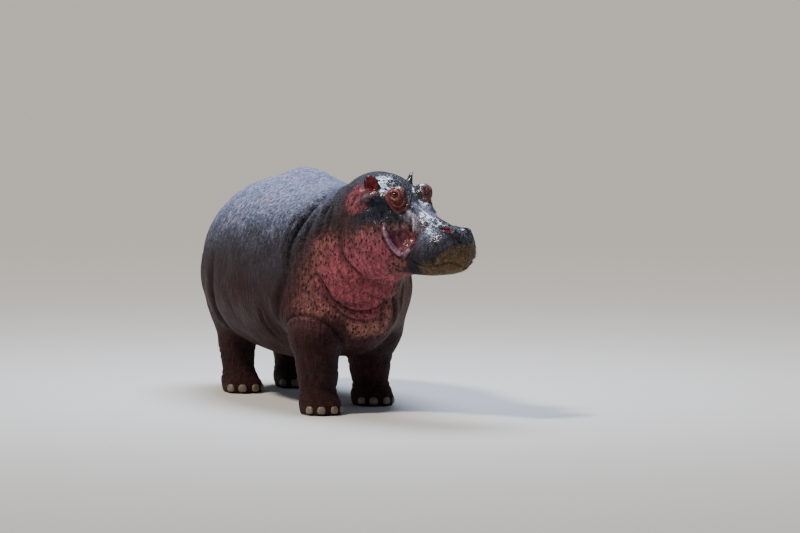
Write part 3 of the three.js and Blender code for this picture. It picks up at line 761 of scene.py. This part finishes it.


# Painted reflection of the sky: the top of the back and neck is drawn lighter and bluer.
painted_sky_sheen = ramp(z, 0.9 - 0.16 * ramp(y, -0.1, 0.9), 1.46) * ramp(y, -1.02, -0.6)
painted_sky_sheen *= 0.62 + 0.38 * ramp(y, -0.8, 0.3)
ear_patch = patch((0.205, 0.072, 1.385), (0.066, 0.072, 0.088), 0.8)
rear_head = ramp(u, -0.24, 0.0)
# Painted light: a brighter rose over the rose skin of the lower throat and pouch, as if lit.
throat_painted_light = bare_front(0.1) * ramp(z, 0.56, 0.68) * (1 - ramp(z, 0.93, 1.05)) * ramp(-y, 0.96, 1.04)
marks |= {
    "flush": np.maximum(bare_front(-0.09, 1.4), patch((0.19, 0.1, 1.3), (0.1, 0.13, 0.17), 0.7)),
    "pink": np.maximum(bare_front(0.0), ear_patch),
    "rose": np.maximum(bare_front(0.07, 1.3), 0.9 * ear_patch),
    "dark_head": rear_head * ramp(w, 1.17, 1.27) * (1 - ear_patch) + ramp(u, 0.24, 0.36),
    "blue_hollow": patch((0.19, -0.09, 1.3), (0.07, 0.14, 0.085), 0.6),
    # Painted reflections of the sky: a lilac-grey sheen on the side of the muzzle and a paler one on the
    # bridge.
    "muzzle_sheen": patch((0.125, -0.46, 1.14), (0.08, 0.16, 0.085), 0.7),
    "bridge_sheen": patch((0.045, -0.29, 1.29), (0.07, 0.14, 0.065), 0.7),
    "tan_chin": ramp(u, 0.34, 0.48) * (1 - ramp(w - 0.12 * ramp(u, 0.52, 0.66), 0.975, 1.035)),
    # Painted shade: the far side of the chest is drawn dark olive-brown.
    "far_chest_painted_shade": ramp(x, 0.03, 0.17) * ramp(-y, 0.45, 0.7) * (1 - ramp(w, 1.02, 1.2)) * ramp(z, 0.4, 0.6),
    "ear_red": 1 - ramp(np.minimum(*(field(in_head) for field, *_ in ear_hollows)), 0.0, 0.01),
    "painted_sky_sheen": painted_sky_sheen,
    # A warm lavender tint over half of the painted sky reflection on the top.
    "warm_painted_sheen": 0.5 * painted_sky_sheen,
    # Darker and warmer towards the bottom: partly the browner hide of the belly, partly painted shade under
    # the body.
    "underside_tone_and_shade": 1 - ramp(z, 0.5, 1.2),
    # Painted light: the pale tan of the low chest between the forelegs, drawn lighter as if light falls on
    # it.
    "low_chest_painted_light": bare_front(0.03, 1.3) * (1 - ramp(z, 0.52, 0.76)),
    "throat_rose_painted_light": throat_painted_light,
}
splashed = ramp(u, -0.1, 0.06) * ramp(outward[:, 2], -0.25, 0.45) * ramp(w, 1.04, 1.14)
splashed *= 1 - marks["blue_hollow"]
splashed *= 1 - 0.7 * marks["pocket_red"]
nostril_gap = np.minimum(*(field(in_head) for field, *_ in nostrils))
marks["nostril_red"] = 1 - ramp(nostril_gap, -0.001, 0.006)
marks["wet"] = np.clip(splashed + marks["lip_edge_highlight"], 0, 1) * ramp(nostril_gap, 0.004, 0.022)


def store(mesh, name, values):
    """Gives each vertex of a mesh its number or vector."""
    kind, field = ("FLOAT", "value") if values.ndim == 1 else ("FLOAT_VECTOR", "vector")
    mesh.attributes.new(name, kind, "POINT").data.foreach_set(field, values.astype(np.float32).ravel())


for name, strength in marks.items():
    store(skin_mesh, name, np.clip(strength, 0, 1))


# ---- Hide ---------------------------------------------------------------------------------------
# Wet hippopotamus hide: bare, thick skin with a cross-hatched grain, glossy where water and its own red sweat
# stand on it. The grain is drawn about twice as coarse as life, or it would not show at this distance.
def calc(operation, *values, **settings):
    """A math node of the tree in hand."""
    return add(tree, "ShaderNodeMath", dict(enumerate(values)), operation=operation, **settings)


def remap(value, start, end, low=0.0, high=1.0, **settings):
    """Turns the range from start to end into that from low to high."""
    return add(tree, "ShaderNodeMapRange", {
        "Value": value, "From Min": start, "From Max": end, "To Min": low, "To Max": high,
    }, **settings)


def cover(under, over, amount):
    """A hex colour laid over another colour by an amount of 0 to 1."""
    return add(tree, "ShaderNodeMix", {0: amount, 6: under, 7: linear(over)}, data_type="RGBA").outputs[2]


def attribute(name):
    return add(tree, "ShaderNodeAttribute", attribute_name=name).outputs["Fac"]


def cloud(place, scale, **inputs):
    return add(tree, "ShaderNodeTexNoise", {"Vector": place, "Scale": scale} | inputs)


GRAIN, FINE_GRAIN, WRINKLE = 0.016, 0.007, 0.022
SPOT_SPACING = 0.02
UNEVEN = 0.01  # how far spots and grain stray from even rows
hide, tree = new_material("wet_hide")
place = add(tree, "ShaderNodeTexCoord").outputs["Object"]
clouds = cloud(place, 5.0, Detail=5.0, Roughness=0.6)
mottle = cloud(place, 34.0, Detail=4.0, Roughness=0.65)
breakup = add(tree, "ShaderNodeMix", {0: 0.5, 2: clouds, 3: mottle})
colour = cover(linear("#3b3941"), "#262123", clouds)
LAYERS = [  # marking, colour, how ragged its edge is, how soft it is, how much of it covers
    ("underside_tone_and_shade", "#311613", 0.8, 0.5, 0.94),
    ("painted_sky_sheen", "#75819b", 1.3, 0.5, 0.9),
    ("warm_painted_sheen", "#8c727a", 3.2, 0.4, 0.55),
    ("far_chest_painted_shade", "#563829", 1.0, 0.35, 0.94),
    ("flush", "#482a2b", 1.4, 0.45, 0.85),
    ("dark_head", "#26262d", 1.0, 0.25, 0.95),
    ("blue_hollow", "#272a38", 1.0, 0.3, 0.85),
    ("muzzle_sheen", "#4a4858", 1.4, 0.5, 0.8),
    ("bridge_sheen", "#807c90", 1.4, 0.5, 0.75),
    ("tan_chin", "#685138", 1.4, 0.5, 0.85),
    ("pink", "#683f3e", 1.6, 0.45, 0.92),
    ("low_chest_painted_light", "#a87465", 1.2, 0.5, 0.85),
    ("rose", "#833f4d", 1.0, 0.5, 0.85),
    ("throat_rose_painted_light", "#984c53", 1.4, 0.5, 0.65),
    ("bone_ridge_highlight", "#72555b", 1.4, 0.35, 0.8),
    ("red_lids", "#7d423f", 0.9, 0.25, 0.92),
    ("flesh_fold", "#9c5f60", 0.8, 0.25, 0.8),
    ("lip_edge_highlight", "#b9b1c0", 1.8, 0.5, 0.9),
    ("pocket_red", "#6a3b49", 0.8, 0.3, 0.92),
    ("pocket_front", "#93394c", 0.8, 0.35, 0.6),
    ("lilac_rim", "#9a7088", 0.7, 0.3, 0.92),
    ("ear_red", "#8a383c", 0.3, 0.25, 1.0),
    ("nostril_red", "#7a2b3b", 0.1, 0.25, 1.0),
]
# Dark red spots on the pink skin, longer than wide, of uneven size, with paler skin between them.
wander = add(tree, "ShaderNodeVectorMath", {0: mottle.outputs["Color"], "Scale": UNEVEN}, operation="SCALE")
moved = add(tree, "ShaderNodeVectorMath", {0: place, 1: wander}, operation="ADD")
stretched = add(tree, "ShaderNodeMapping", {
    "Vector": moved, "Scale": (1 / SPOT_SPACING, 1 / SPOT_SPACING, 0.62 / SPOT_SPACING),
})
cells = add(tree, "ShaderNodeTexVoronoi", {"Vector": stretched, "Scale": 1.0, "Randomness": 0.85})
lot = add(tree, "ShaderNodeSeparateColor", {0: cells.outputs["Color"]})
within = calc("SUBTRACT", calc("MULTIPLY_ADD", lot, 0.17, 0.21), cells.outputs["Distance"])
spots = remap(within, -0.035, 0.035, 0, 0.92, interpolation_type="SMOOTHSTEP")
halo = remap(within, -0.06, -0.32, 0, 0.58)

masks = {}
unevenness = calc("SUBTRACT", breakup, 0.5)
for name, tint, ragged, soft, most in LAYERS:
    strength = attribute(name)
    # Below a fifth of a marking's strength its edge is less ragged, so that no speck strays far out.
    reached = calc("MINIMUM", calc("MULTIPLY", strength, 5.0 * ragged), ragged)
    broken = calc("MULTIPLY_ADD", unevenness, reached, strength)
    mask = remap(broken, 0.5 - soft, 0.5 + soft, 0, most, interpolation_type="SMOOTHSTEP")
    masks[name] = mask
    colour = cover(colour, tint, mask)
    if name == "throat_rose_painted_light":
        # The spots begin further out than the pink itself does, and are fainter where it is rosiest.
        outer = remap(attribute("pink"), 0.05, 0.45)
        faint = calc("MULTIPLY_ADD", mask, -0.75, outer)
        tan = calc("MULTIPLY_ADD", masks["rose"], -0.8, masks["pink"])
        pale = calc("MULTIPLY", halo, tan, use_clamp=True)
        shown = calc("MULTIPLY", spots, faint, use_clamp=True)
        colour = cover(cover(colour, "#7f5549", pale), "#2b1214", shown)

# The grain: cross-hatched cells, finer cells inside them, and long shallow wrinkles that run down the flank.
grain = add(tree, "ShaderNodeTexVoronoi", {"Vector": moved, "Scale": 1 / GRAIN, "Randomness": 0.9},
            feature="DISTANCE_TO_EDGE")
fine_grain = add(tree, "ShaderNodeTexVoronoi", {"Vector": place, "Scale": 1 / FINE_GRAIN},
                 feature="DISTANCE_TO_EDGE")
slanted = add(tree, "ShaderNodeMapping", {
    "Vector": place, "Rotation": (math.radians(28), 0, 0),
    "Scale": (1 / WRINKLE, 1 / WRINKLE, 0.22 / WRINKLE),
})
wrinkles = cloud(slanted, 1.0, Detail=3.0, Distortion=0.6)
height = grain
for layer, part in ((fine_grain, 0.45), (mottle, 0.8), (wrinkles, 1.7)):
    height = calc("MULTIPLY_ADD", layer, part, height)
wetness = attribute("wet")
height = calc("MULTIPLY", height, calc("MULTIPLY_ADD", masks["pink"], -0.6, 1.0))  # the pink skin is smoother
bump = add(tree, "ShaderNodeBump", {"Height": height, "Distance": 0.012, "Strength": 0.9})

# Mottling, dust in the grain and painted shade in the creases.
blotch = remap(mottle, 0.35, 0.65, 0.66, 1.34)
streak = remap(wrinkles, 0.35, 0.65, 0.7, 1.3)
dust = remap(grain, 0, 0.22, 0.62, 1.12)
shade = calc("MULTIPLY", calc("MULTIPLY", blotch, streak), dust)
colour = add(tree, "ShaderNodeVectorMath", {0: colour, "Scale": shade}, operation="SCALE")
# Painted shade: the deeper in a crease, the darker the hide.
colour = cover(colour, "#1f1517", calc("MULTIPLY", attribute("painted_crease_shade"), 0.8))

# The head has just come out of the water. A film of it lies in beads on the skull and runs in streaks down
# the bridge. The flanks are half dry.
gloss = calc("MULTIPLY_ADD", wetness, -0.2, remap(clouds, 0.35, 0.65, 0.5, 0.68))
along_head = add(tree, "ShaderNodeMapping", {
    "Vector": moved, "Rotation": (0, 0, HEAD_TURN), "Scale": (0.017, 0.09, 0.017),
}, vector_type="TEXTURE")
beads = calc("ADD", cloud(along_head, 1.0, Detail=3.0, Roughness=0.6), mottle)
film = calc("MULTIPLY", wetness, remap(beads, 0.94, 1.14))
ripple = add(tree, "ShaderNodeBump", {"Height": beads, "Distance": 0.008, "Strength": 0.5})
finish(tree, {
    "Base Color": colour, "Roughness": gloss, "Normal": bump, "IOR": 1.42, "Specular IOR Level": 0.16,
    "Coat Weight": film, "Coat Roughness": 0.16, "Coat IOR": 1.9, "Coat Normal": ripple,
})
skin_mesh.materials.append(hide)
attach(skin, "root")
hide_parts("trunk", "neck", "head", "ear_right", "ear_left", "tail", *feet)


# ---- Bristles -----------------------------------------------------------------------------------
# A hippopotamus is almost bare. Stiff brown bristles stand apart on its lips and chin, fine ones edge the
# ears, and a flat fringe hangs from the tail. Each is a thin bent cone of horn, let into the skin.
bristle_horn, tree = new_material("horny_bristle")
tone = cloud(add(tree, "ShaderNodeTexCoord").outputs["Object"], 90.0)
finish(tree, {"Base Color": cover(linear("#2a1f1a"), "#665040", tone), "Roughness": 0.45})

SIDES, STEPS = 4, 4  # of each cone
STRAY = 0.22  # how far a bristle leans out of its lie
ROOT_DEPTH = 0.002  # how deep it is let in
tree = bristling = bpy.data.node_groups.new("bristles", "GeometryNodeTree")
for label, kind in (("Skin", "Geometry"), ("Bristles per square metre", "Float"), ("Length", "Float"),
                    ("Root thickness", "Float"), ("Bend", "Float"), ("Seed", "Int")):
    bristling.interface.new_socket(label, in_out="INPUT", socket_type=f"NodeSocket{kind}")
bristling.interface.new_socket("Bristles", in_out="OUTPUT", socket_type="NodeSocketGeometry")
given = add(tree, "NodeGroupInput").outputs
where = add(tree, "GeometryNodeInputNamedAttribute", {"Name": "bristles_here"}, data_type="FLOAT")
lie = add(tree, "GeometryNodeInputNamedAttribute", {"Name": "bristles_lie"}, data_type="FLOAT_VECTOR")
roots = add(tree, "GeometryNodeDistributePointsOnFaces", {
    "Mesh": given["Skin"], "Seed": given["Seed"],
    "Density": calc("MULTIPLY", where, given["Bristles per square metre"]),
})
here = add(tree, "GeometryNodeInputPosition")
marked = add(tree, "GeometryNodeStoreNamedAttribute", {
    "Geometry": roots, "Name": "root", "Value": here,
}, data_type="FLOAT_VECTOR", domain="POINT")


def chance(low, high, seed):
    """A number of its own for each bristle."""
    return add(tree, "FunctionNodeRandomValue", {2: low, 3: high, "Seed": seed}, data_type="FLOAT").outputs[1]


stray = add(tree, "FunctionNodeRandomValue", {0: (-STRAY,) * 3, 1: (STRAY,) * 3, "Seed": 5},
            data_type="FLOAT_VECTOR")
strayed = add(tree, "ShaderNodeVectorMath", {0: lie, 1: stray}, operation="ADD")
turned = add(tree, "FunctionNodeAlignRotationToVector", {"Vector": strayed}, axis="Z")
spin = chance(0.0, 2 * math.pi, 7)
spun = add(tree, "FunctionNodeAxisAngleToRotation", {"Axis": (0, 0, 1), "Angle": spin})
rolled = add(tree, "FunctionNodeRotateRotation", {0: turned, 1: spun}, rotation_space="LOCAL")
size = chance(0.6, 1.15, 9)
cone = add(tree, "GeometryNodeMeshCone", {
    "Vertices": SIDES, "Side Segments": STEPS, "Radius Top": 0.12, "Radius Bottom": 1.0, "Depth": 1.0,
})
kept = add(tree, "GeometryNodeStoreNamedAttribute", {
    "Geometry": cone, "Name": "patch", "Value": here,
}, data_type="FLOAT_VECTOR", domain="POINT")
apart = add(tree, "ShaderNodeSeparateXYZ", {0: here}).outputs
thick, deep = (calc("MULTIPLY", apart[i], given["Root thickness"]) for i in (0, 1))
long = calc("MULTIPLY", apart[2], given["Length"])
arc = calc("POWER", apart[2], 2.0)
aside = calc("MULTIPLY_ADD", arc, calc("MULTIPLY", given["Length"], given["Bend"]), thick)
bent = add(tree, "ShaderNodeCombineXYZ", {0: aside, 1: deep, 2: calc("SUBTRACT", long, ROOT_DEPTH)})
bristle = add(tree, "GeometryNodeSetPosition", {"Geometry": kept, "Position": bent})
grown = add(tree, "GeometryNodeInstanceOnPoints", {
    "Points": marked, "Instance": bristle, "Rotation": rolled, "Scale": size,
})
solid = add(tree, "GeometryNodeRealizeInstances", {"Geometry": grown})
dressed = add(tree, "GeometryNodeSetMaterial", {"Geometry": solid, "Material": bristle_horn})
add(tree, "NodeGroupOutput", {0: dressed})


def unwrap(place, part):
    """Where a point lies on a flat map: a tile for the lips, the tail and each ear, unrolled on its axis."""
    q = to_head(place)
    if part == "tail":
        q = place - np.array([0, tail_root_y + 0.09, TAIL_HEIGHT])
        around, along, tile = np.arctan2(q[:, 0], q[:, 1]), -q[:, 2] / 0.6, 0
    elif part == "lips":
        around, along, tile = np.arctan2(q[:, 0], q[:, 2] - 1.1), -q[:, 1] / 0.8, 1
    else:
        around = np.arctan2(np.abs(q[:, 0]) - 0.185, q[:, 1] + 0.028)
        along, tile = (q[:, 2] - 1.47) / 0.25 + 0.5, 2 + (q[:, 0] > 0)
    across = (tile + 0.08 + 0.84 * (around / (2 * math.pi) + 0.5)) / 4
    return np.stack([across, 0.02 + 0.96 * np.clip(along, 0, 1)], -1)


lip_zone = ramp(u, 0.42, 0.52) * ramp(w, 0.92, 0.95) * (1 - ramp(w, 1.08, 1.15))
lip_zone *= ramp(np.abs(in_head[:, 0]), 0.0, 0.05)
rim_gaps = [np.hypot(ear[0](in_head), hollow[0](in_head)) for ear, hollow in zip(ears, ear_hollows)]
ear_zone = (1 - ramp(np.minimum(*rim_gaps), 0.004, 0.01)) * ramp(w, 1.455, 1.475)
tail_zone = ramp(z, TAIL_HEIGHT - 0.7 * TAIL_LENGTH, TAIL_HEIGHT - 0.8 * TAIL_LENGTH)
tail_zone *= (np.abs(x) < 0.05) & (y > tail_root_y + 0.03) & (z > 0.55)
forwards = from_head((0, -1, 0)) - from_head((0, 0, 0))
ear_lie = np.stack([0.5 * np.sign(in_head[:, 0]), np.zeros(len(surface)), np.ones(len(surface))], -1)
TUFT_PATCH = 0.003  # how much of the flat map one bristle covers
TUFTS = (  # name, part of the skin, where, lie, per square metre, length, thickness and bend
    ("lip_bristles", "lips", lip_zone, outward * 0.8 + forwards * 0.35 - [0, 0, 0.35],
     2000, 0.024, 0.0007, 0.25),
    ("ear_bristles", "ears", ear_zone, outward * 0.5 + ear_lie, 30000, 0.016, 0.0005, 0.2),
    ("tail_bristles", "tail", tail_zone, outward * 0.35 - [0, 0, 1.0], 11000, 0.055, 0.0008, 0.12),
)
for seed, (name, part, zone, way, count, tall, thick, bend) in enumerate(TUFTS, 3):
    ground = skin_mesh.copy()
    store(ground, "bristles_here", zone)
    store(ground, "bristles_lie", way)
    grower = show("grower", ground)
    maker = grower.modifiers.new("bristles", "NODES")
    maker.node_group = bristling
    for label, value in (("Bristles per square metre", float(count)), ("Length", tall),
                         ("Root thickness", thick), ("Bend", bend), ("Seed", seed)):
        maker[bristling.interface.items_tree[label].identifier] = value
    mesh = bpy.data.meshes.new_from_object(grower.evaluated_get(bpy.context.evaluated_depsgraph_get()))
    mesh.name = name
    bpy.data.objects.remove(grower)
    root, spot = (read(mesh.attributes[of].data, "vector", kind=np.float32) for of in ("root", "patch"))
    offset = np.stack([(spot[:, 0] + 0.5 * spot[:, 1]) / 3, spot[:, 2] - 0.5], -1) * TUFT_PATCH
    flat = unwrap(root - MIDDLE, part) + offset
    corners = read(mesh.loops, "vertex_index", 1, np.int32)[:, 0]
    mesh.uv_layers.new(name="OFBake").data.foreach_set("uv", flat[corners].astype(np.float32).ravel())
    for spare in ("root", "patch", "bristles_here", "bristles_lie"):
        if spare in mesh.attributes:
            mesh.attributes.remove(mesh.attributes[spare])
    mesh.shade_smooth()
    piece = show(name, mesh)
    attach(piece, "root")


# ---- Eyeballs -----------------------------------------------------------------------------------
# A wet ball in each socket, with a bulging cornea over a dark brown iris. The white is stained red-brown.
def cast(shape, name, material):
    """A smooth piece from an edited bmesh."""
    bmesh.ops.recalc_face_normals(shape, faces=shape.faces)
    mesh = bpy.data.meshes.new(name)
    shape.to_mesh(mesh)
    shape.free()
    mesh.shade_smooth()
    mesh.materials.append(material)
    return show(name, mesh)


RING_FADE = 0.9  # millimetres over which one ring of colour goes over into the next
eyeball_finish, tree = new_material("wet_eyeball")
from_pupil = attribute("from_pupil")
veins = cloud(add(tree, "ShaderNodeTexCoord").outputs["Object"], 260.0)
wavy = calc("MULTIPLY_ADD", veins, 1.2, calc("MULTIPLY", from_pupil, 1000.0))  # in millimetres
colour = linear("#0a0706")
for edge, tint in ((6.8, "#2b160d"), (8.5, "#4a2817"), (11.8, "#2a140e"), (13.4, "#6d3f38"),
                   (20.0, "#7d4a42")):
    colour = cover(colour, tint, remap(wavy, edge, edge + RING_FADE))
finish(tree, {"Base Color": colour, "Roughness": 0.1, "Specular IOR Level": 0.25, "Coat Weight": 0.25,
              "Coat Roughness": 0.03})
CORNEA_BULGE, CORNEA_ANGLE = 0.05, 0.42
for name, (s, eye_at, gaze, level_way, high_way) in zip(("right", "left"), gazes):
    ball = bmesh.new()
    bmesh.ops.create_uvsphere(ball, u_segments=56, v_segments=36, radius=1)
    directions = np.array([v.co[:] for v in ball.verts])
    angle = np.arccos(np.clip(directions[:, 2], -1, 1))
    radius = EYE_RADIUS * (1 + CORNEA_BULGE * bell(angle, CORNEA_ANGLE, 4))
    axes = np.array([level_way, high_way, gaze])
    placed = from_head(eye_at + (directions * radius[:, None]) @ axes) + MIDDLE
    for vertex, point in zip(ball.verts, placed):
        vertex.co = point
    eyeball = cast(ball, f"eyeball_{name}", eyeball_finish)
    store(eyeball.data, "from_pupil", EYE_RADIUS * angle)
    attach(eyeball, "root")
    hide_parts(f"eye_{name}")


# ---- Nails --------------------------------------------------------------------------------------
# Each toe ends in a blunt hoof-like nail of worn horn, set into its front, with growth rings across. A nail
# is a squared ball, thinner towards the cuticle and cut flat below.
NAIL_OUT, NAIL_ACROSS, NAIL_TALL = 0.016, 0.027, 0.025
SQUARE, LOWEST = 0.74, -0.86
horn, tree = new_material("worn_horn")
place = add(tree, "ShaderNodeTexCoord").outputs["Object"]
rings = add(tree, "ShaderNodeMapping", {"Vector": place, "Scale": (12, 12, 320)})
streaks = cloud(rings, 1.0, Detail=3.0)
colour = cover(linear("#3e342f"), "#8a7a68", streaks)
bump = add(tree, "ShaderNodeBump", {"Height": streaks, "Distance": 0.0015, "Strength": 0.6})
finish(tree, {"Base Color": colour, "Roughness": 0.42, "Normal": bump, "Coat Weight": 0.2})
for leg in feet:
    for number, angle in enumerate(TOE_ANGLES, 1):
        node = f"nail_{leg}_{number}"
        low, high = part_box(node)
        centre = (low + high) / 2
        outwards = Vector((math.sin(angle), -math.cos(angle), 0))
        across = Vector((math.cos(angle), math.sin(angle), 0))
        nail = bmesh.new()
        bmesh.ops.create_uvsphere(nail, u_segments=32, v_segments=20, radius=1)
        for vertex in nail.verts:
            side, front, up = (math.copysign(abs(v) ** SQUARE, v) for v in vertex.co)
            front *= 1 - 0.1 * max(0, up)
            vertex.co = (
                centre + across * side * NAIL_ACROSS * (1 - 0.08 * max(0, up))
                + outwards * front * NAIL_OUT + Vector((0, 0, max(up, LOWEST) * NAIL_TALL))
            )
        piece = cast(nail, f"horn_{leg}_{number}", horn)
        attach(piece, "root")
        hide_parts(node)
